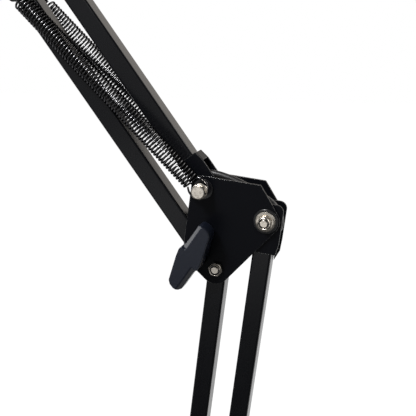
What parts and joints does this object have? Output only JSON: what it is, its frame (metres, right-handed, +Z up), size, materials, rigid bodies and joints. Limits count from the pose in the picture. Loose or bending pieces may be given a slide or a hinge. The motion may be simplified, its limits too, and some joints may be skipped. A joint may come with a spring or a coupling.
{
  "type": "led desk lamp",
  "caption": "Clamp-on LED task lamp with a light bar on a two-part parallelogram arm of square tubes, held up by coil springs.",
  "frame": {"origin": "on the desk top, on the axis of the lamp's swivel post, in the plane of the clamp's rubber seat", "axes": "+Z up along the swivel post, head towards -X with the arm in the XZ plane, +Y away from the side that the picture shows"},
  "size_m": [0.525, 0.06, 0.9157],
  "materials": {
    "black_coat": "satin powder coat",
    "black_alloy": "black anodised, satin",
    "plated_steel": "nickel plated, bright",
    "dark_steel": "blackened, satin",
    "spring_steel": "black plated wire, semi-gloss",
    "brass_sleeve": "turned",
    "blue_black_plastic": "fine moulded satin",
    "black_plastic": "moulded, satin",
    "black_rubber": "matt",
    "white_nylon": "natural nylon",
    "lead_jacket": "satin cable jacket",
    "board_white": "white solder mask with LED packages",
    "board_green": "green solder mask",
    "diffuser_opal": "opal, satin",
    "button_grey": "soft touch"
  },
  "bodies": {
    "clamp": {"clamp_frame": "black_coat", "jaw_rubber": "black_rubber", "socket_bush": "white_nylon"},
    "disc": {"pressure_disc": "black_coat", "disc_rubber": "black_rubber"},
    "screw": {"clamp_screw": "plated_steel", "clamp_handle": "black_plastic"},
    "turret": {"post": "plated_steel", "base_block": "black_plastic", "base_front_plate": "black_coat", "base_rear_plate": "black_coat", "base_bolts": "plated_steel", "base_nuts": "plated_steel", "base_sleeves": "brass_sleeve", "base_hook_sleeves": "dark_steel", "inlet_socket": "black_plastic", "base_lead": "lead_jacket"},
    "lower_main": {"lower_bar": "black_coat", "lower_spring_pin": "dark_steel", "lower_spring_front": "spring_steel", "lower_spring_rear": "spring_steel"},
    "lower_tie": {"lower_tie_bar": "black_coat", "lower_tie_clevises": "black_coat", "lower_lead": "lead_jacket"},
    "elbow": {"elbow_front_plate": "black_coat", "elbow_rear_plate": "black_coat", "elbow_bolts": "plated_steel", "elbow_nuts": "plated_steel", "elbow_washers": "plated_steel", "elbow_sleeves": "brass_sleeve", "elbow_flange": "black_plastic", "hook_bolt": "plated_steel", "hook_sleeves": "dark_steel", "tension_bolt": "plated_steel", "elbow_lead": "lead_jacket"},
    "tension_knob": {"wing_knob": "blue_black_plastic"},
    "upper_main": {"upper_bar": "black_coat", "upper_spring_pin": "dark_steel", "upper_spring_front": "spring_steel", "upper_spring_rear": "spring_steel"},
    "upper_tie": {"upper_tie_bar": "black_coat", "upper_tie_clevises": "black_coat", "upper_lead": "lead_jacket"},
    "head_bracket": {"head_front_plate": "black_coat", "head_rear_plate": "black_coat", "head_bolts": "plated_steel", "head_nuts": "plated_steel", "head_sleeves": "brass_sleeve", "neck_block": "black_plastic", "head_lead": "lead_jacket"},
    "yoke": {"head_yoke": "black_alloy", "tilt_bolt": "plated_steel"},
    "tilt_grip": {"tilt_knob": "blue_black_plastic"},
    "light_bar": {"head_housing": "black_alloy", "end_caps": "black_plastic", "led_board": "board_white", "driver_board": "board_green", "diffuser": "diffuser_opal"},
    "power_key": {"power_button": "button_grey"},
    "dimmer_key": {"dimmer_button": "button_grey"}
  },
  "joints": [
    {"name": "screw_travel", "type": "slide", "parent": "clamp", "child": "disc", "axis": [0, 0, 1], "range_m": [-0.018, 0.024]},
    {"name": "screw_turn", "type": "hinge", "parent": "disc", "child": "screw", "pos_m": [-0.022, 0, -0.03], "axis": [0, 0, 1], "range_deg": [-2162, 2882]},
    {"name": "base_swivel", "type": "hinge", "parent": "clamp", "child": "turret", "pos_m": [0, 0, 0.03], "axis": [0, 0, 1], "range_deg": [-175, 175]},
    {"name": "lower_arm", "type": "hinge", "parent": "turret", "child": "lower_main", "pos_m": [-0.0155, 0, 0.068], "axis": [0, 1, 0], "range_deg": [-60, 18], "deforming": ["lower_spring_front", "lower_spring_rear"]},
    {"name": "lower_tie_pivot", "type": "hinge", "parent": "turret", "child": "lower_tie", "pos_m": [0.0155, 0, 0.1012], "axis": [0, 1, 0], "range_deg": [-60, 18]},
    {"name": "elbow_level", "type": "hinge", "parent": "lower_main", "child": "elbow", "pos_m": [0.02787, 0, 0.42538], "axis": [0, 1, 0], "range_deg": [-18, 60]},
    {"name": "tension_turn", "type": "hinge", "parent": "elbow", "child": "tension_knob", "pos_m": [0.01547, 0, 0.43608], "axis": [0, 1, 0], "range_deg": [-180, 180]},
    {"name": "upper_arm", "type": "hinge", "parent": "elbow", "child": "upper_main", "pos_m": [0.01547, 0, 0.43608], "axis": [0, 1, 0], "range_deg": [-75, 22], "deforming": ["upper_spring_front", "upper_spring_rear"]},
    {"name": "upper_tie_pivot", "type": "hinge", "parent": "elbow", "child": "upper_tie", "pos_m": [0.01947, 0, 0.47618], "axis": [0, 1, 0], "range_deg": [-75, 22]},
    {"name": "head_level", "type": "hinge", "parent": "upper_main", "child": "head_bracket", "pos_m": [-0.19826, 0, 0.72576], "axis": [0, 1, 0], "range_deg": [-22, 75]},
    {"name": "neck_swivel", "type": "hinge", "parent": "head_bracket", "child": "yoke", "pos_m": [-0.22176, 0, 0.72576], "axis": [0, 0, 1], "range_deg": [-90, 90]},
    {"name": "head_tilt", "type": "hinge", "parent": "yoke", "child": "light_bar", "pos_m": [-0.22176, 0, 0.67976], "axis": [0, 1, 0], "range_deg": [-60, 45]},
    {"name": "tilt_grip_turn", "type": "hinge", "parent": "yoke", "child": "tilt_grip", "pos_m": [-0.22176, 0, 0.67976], "axis": [0, 1, 0], "range_deg": [-180, 180]},
    {"name": "power_press", "type": "slide", "parent": "light_bar", "child": "power_key", "axis": [0, 0, -1], "range_m": [0, 0.001], "stiffness_N_per_m": 600, "springref_m": -0.0005},
    {"name": "dimmer_press", "type": "slide", "parent": "light_bar", "child": "dimmer_key", "axis": [0, 0, -1], "range_m": [0, 0.001], "stiffness_N_per_m": 600, "springref_m": -0.0005}
  ],
  "couplings": [
    {"joint": "screw_turn", "follows": "screw_travel", "rad_per_m": 2094.4},
    {"joint": "lower_tie_pivot", "follows": "lower_arm", "ratio": 1},
    {"joint": "elbow_level", "follows": "lower_arm", "ratio": -1},
    {"joint": "upper_tie_pivot", "follows": "upper_arm", "ratio": 1},
    {"joint": "head_level", "follows": "upper_arm", "ratio": -1}
  ]
}
